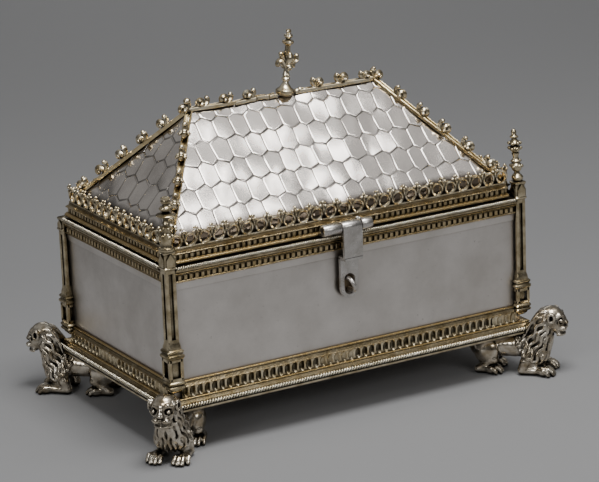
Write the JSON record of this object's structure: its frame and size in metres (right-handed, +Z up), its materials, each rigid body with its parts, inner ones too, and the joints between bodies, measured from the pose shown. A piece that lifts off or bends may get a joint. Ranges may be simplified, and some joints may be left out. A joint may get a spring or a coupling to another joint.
{
  "type": "reliquary casket",
  "caption": "Silver reliquary casket on lion feet, with corner posts, a lift-off hipped lid, pierced cresting, crockets, a cross, and a hinged hasp over a staple.",
  "frame": {"origin": "middle of the footprint, on the surface that the lions' paws stand on", "axes": "+X to the right along the long front, +Y towards the back, +Z up; the hasp is on the front, which faces -Y"},
  "size_m": [0.1902, 0.1194, 0.1466],
  "materials": {
    "panel_silver": "satin silver sheet with light tarnish",
    "roof_silver": "bright engraved silver sheet",
    "gilt_silver": "worn parcel-gilt mouldings, dark in the recesses",
    "cast_silver": "cast and chased silver-gilt, dark in the recesses",
    "hasp_metal": "plain grey metal, polished on the faces"
  },
  "bodies": {
    "casket": {"box_body": "panel_silver", "lid_roof": "roof_silver", "base_moulding_front": "gilt_silver", "base_moulding_right": "gilt_silver", "base_moulding_back": "gilt_silver", "base_moulding_left": "gilt_silver", "rim_moulding_front": "gilt_silver", "rim_moulding_right": "gilt_silver", "rim_moulding_back": "gilt_silver", "rim_moulding_left": "gilt_silver", "lid_moulding_front": "gilt_silver", "lid_moulding_right": "gilt_silver", "lid_moulding_back": "gilt_silver", "lid_moulding_left": "gilt_silver", "cresting_front": "gilt_silver", "cresting_right": "gilt_silver", "cresting_back": "gilt_silver", "cresting_left": "gilt_silver", "post_front_left": "cast_silver", "post_front_right": "cast_silver", "post_back_right": "cast_silver", "post_back_left": "cast_silver", "lion_front_left": "cast_silver", "lion_front_right": "cast_silver", "lion_back_right": "cast_silver", "lion_back_left": "cast_silver", "hip_crest_front_left": "gilt_silver", "hip_crest_front_right": "gilt_silver", "hip_crest_back_right": "gilt_silver", "hip_crest_back_left": "gilt_silver", "ridge_crest_left": "gilt_silver", "ridge_crest_right": "gilt_silver", "ridge_cross": "gilt_silver", "hasp_knuckle_left": "hasp_metal", "hasp_knuckle_right": "hasp_metal", "hinge_pin": "hasp_metal", "staple": "hasp_metal"},
    "hasp": {"hasp": "hasp_metal"}
  },
  "joints": [
    {"name": "hasp_hinge", "type": "hinge", "parent": "casket", "child": "hasp", "pos_m": [-0.002, -0.0484, 0.0772], "axis": [-1, 0, 0], "range_deg": [0, 165]}
  ]
}
